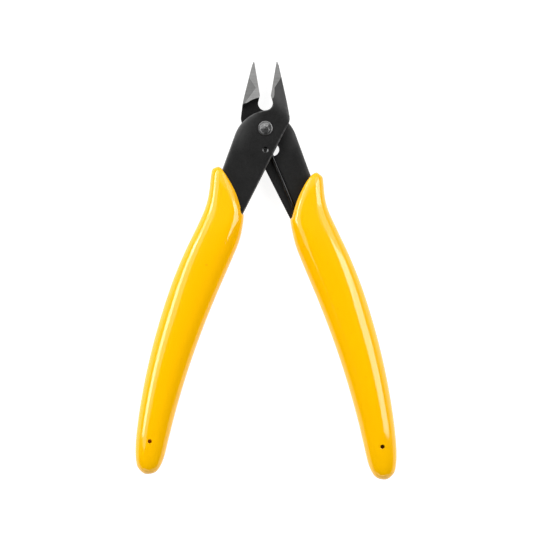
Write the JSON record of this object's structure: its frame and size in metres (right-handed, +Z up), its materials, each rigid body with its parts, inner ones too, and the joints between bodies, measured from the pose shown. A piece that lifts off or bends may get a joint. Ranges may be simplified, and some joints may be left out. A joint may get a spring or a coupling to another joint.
{
  "type": "flush cutter",
  "caption": "Small spring-opened flush cutter for electronics work, with angled stamped steel jaws and dipped grips.",
  "frame": {"origin": "centre of the footprint at bench level, tool lying on its grips and standing open", "axes": "+Z up from the bench through the thickness of the tool, +Y from the handles to the jaw tips, +X to the right seen from above, towards the handle of the rear half"},
  "size_m": [0.0784, 0.1256, 0.0106],
  "materials": {
    "blackened_steel": "satin",
    "rivet_steel": "satin",
    "spring_steel": "satin",
    "pin_steel": "satin",
    "grip_vinyl": "gloss"
  },
  "bodies": {
    "rear": {"rear_half": "blackened_steel", "pivot_rivet": "rivet_steel", "return_spring": "spring_steel", "right_grip": "grip_vinyl"},
    "front": {"front_half": "blackened_steel", "spring_pin": "pin_steel", "left_grip": "grip_vinyl"}
  },
  "joints": [
    {"name": "handles", "type": "hinge", "parent": "rear", "child": "front", "pos_m": [-0.0002, 0.04266, 0.00532], "axis": [0, 0, 1], "range_deg": [0, 18.6], "stiffness_Nm_per_rad": 0.7, "springref_deg": -9.74, "deforming": ["return_spring"]}
  ]
}
